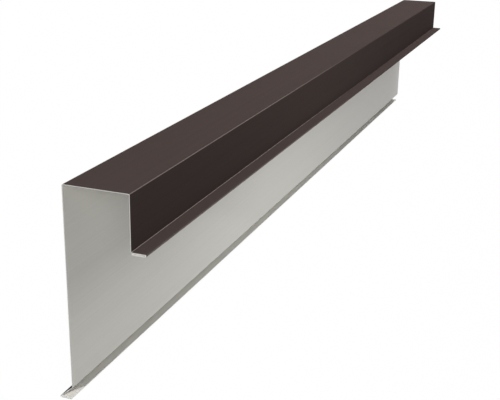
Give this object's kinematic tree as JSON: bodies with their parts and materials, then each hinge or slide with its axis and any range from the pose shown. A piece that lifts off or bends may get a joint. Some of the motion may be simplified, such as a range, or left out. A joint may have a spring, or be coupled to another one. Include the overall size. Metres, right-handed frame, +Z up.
{
  "type": "roof edge trim",
  "caption": "Roof edge trim folded from coated sheet steel: tall leg with a drip, flat top, short front leg and a hemmed lip.",
  "frame": {"origin": "on the floor, under the middle of the bounding box", "axes": "+X along the length, +Z up from the floor it lies on; the top's coated face looks to -Y and the drip is at +Y"},
  "size_m": [1, 0.1642, 0.0634],
  "materials": {
    "edge_trim": "satin"
  },
  "bodies": {
    "root": {"edge_trim": "edge_trim"}
  },
  "joints": []
}
